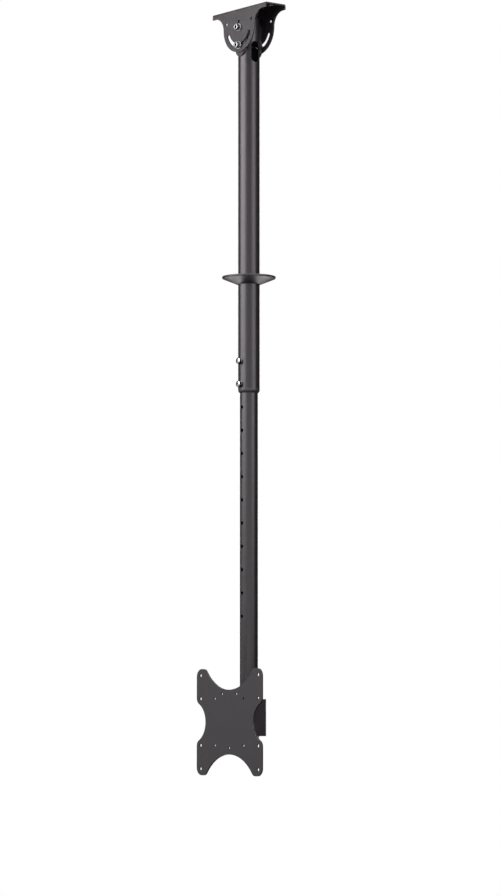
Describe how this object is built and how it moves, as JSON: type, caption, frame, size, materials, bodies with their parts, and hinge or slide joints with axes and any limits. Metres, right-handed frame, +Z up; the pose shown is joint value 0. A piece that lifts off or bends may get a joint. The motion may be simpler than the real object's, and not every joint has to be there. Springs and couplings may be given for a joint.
{
  "type": "tv ceiling mount",
  "caption": "Telescopic ceiling pole for a flat screen: folded ceiling bracket with a pivoting joint, sliding trim cover, height lock, and a head that swivels, tilts and turns.",
  "frame": {"origin": "middle of the ceiling bracket's top face, on the ceiling", "axes": "+Z up along the pole, -Y to the screen's front, +X to the viewer's right"},
  "size_m": [0.228, 0.116, 1.659],
  "materials": {
    "powder_coated_steel": "fine satin black powder coat",
    "plated_steel": "bright nickel plating",
    "black_plastic": "moulded black nylon"
  },
  "bodies": {
    "ceiling_bracket": {"ceiling_bracket": "powder_coated_steel"},
    "outer_pole": {"outer_tube": "powder_coated_steel", "front_saddle": "powder_coated_steel", "rear_saddle": "powder_coated_steel", "pivot_bolt": "plated_steel", "pivot_washers": "plated_steel", "pivot_nut": "plated_steel", "slot_bolt": "plated_steel", "slot_washers": "plated_steel", "slot_nut": "plated_steel", "tube_end_collar": "black_plastic", "lock_screws": "plated_steel", "lock_washers": "plated_steel"},
    "ceiling_cover": {"ceiling_cover": "black_plastic"},
    "inner_pole": {"inner_tube": "powder_coated_steel", "top_guide_ring": "black_plastic", "tube_end_plug": "black_plastic", "retaining_disc": "powder_coated_steel", "retaining_bolt": "plated_steel"},
    "swivel_head": {"swivel_yoke": "powder_coated_steel", "upper_swivel_bush": "black_plastic", "lower_swivel_bush": "black_plastic", "swivel_stop_pin": "plated_steel"},
    "tilt_bracket": {"tilt_bracket": "powder_coated_steel", "tilt_bolts": "plated_steel", "tilt_friction_washers": "black_plastic", "tilt_nuts": "plated_steel"},
    "screen_plate": {"screen_plate": "powder_coated_steel", "pivot_stud": "plated_steel", "rotation_friction_disc": "black_plastic", "rotation_washer": "plated_steel", "rotation_nut": "plated_steel"}
  },
  "joints": [
    {"name": "ceiling_pitch", "type": "hinge", "parent": "ceiling_bracket", "child": "outer_pole", "pos_m": [0, 0, -0.0415], "axis": [0, 1, 0], "range_deg": [-65, 65]},
    {"name": "cover_slide", "type": "slide", "parent": "outer_pole", "child": "ceiling_cover", "axis": [0, 0, 1], "range_m": [-0.15, 0.45]},
    {"name": "height_slide", "type": "slide", "parent": "outer_pole", "child": "inner_pole", "axis": [0, 0, 1], "range_m": [0, 0.5]},
    {"name": "head_swivel", "type": "hinge", "parent": "inner_pole", "child": "swivel_head", "pos_m": [0, 0, -1.5355], "axis": [0, 0, 1], "range_deg": [-30, 30]},
    {"name": "screen_tilt", "type": "hinge", "parent": "swivel_head", "child": "tilt_bracket", "pos_m": [0, -0.033, -1.545], "axis": [1, 0, 0], "range_deg": [-5, 20]},
    {"name": "screen_rotate", "type": "hinge", "parent": "tilt_bracket", "child": "screen_plate", "pos_m": [0, -0.0525, -1.545], "axis": [0, 1, 0], "range_deg": [-90, 90]}
  ]
}
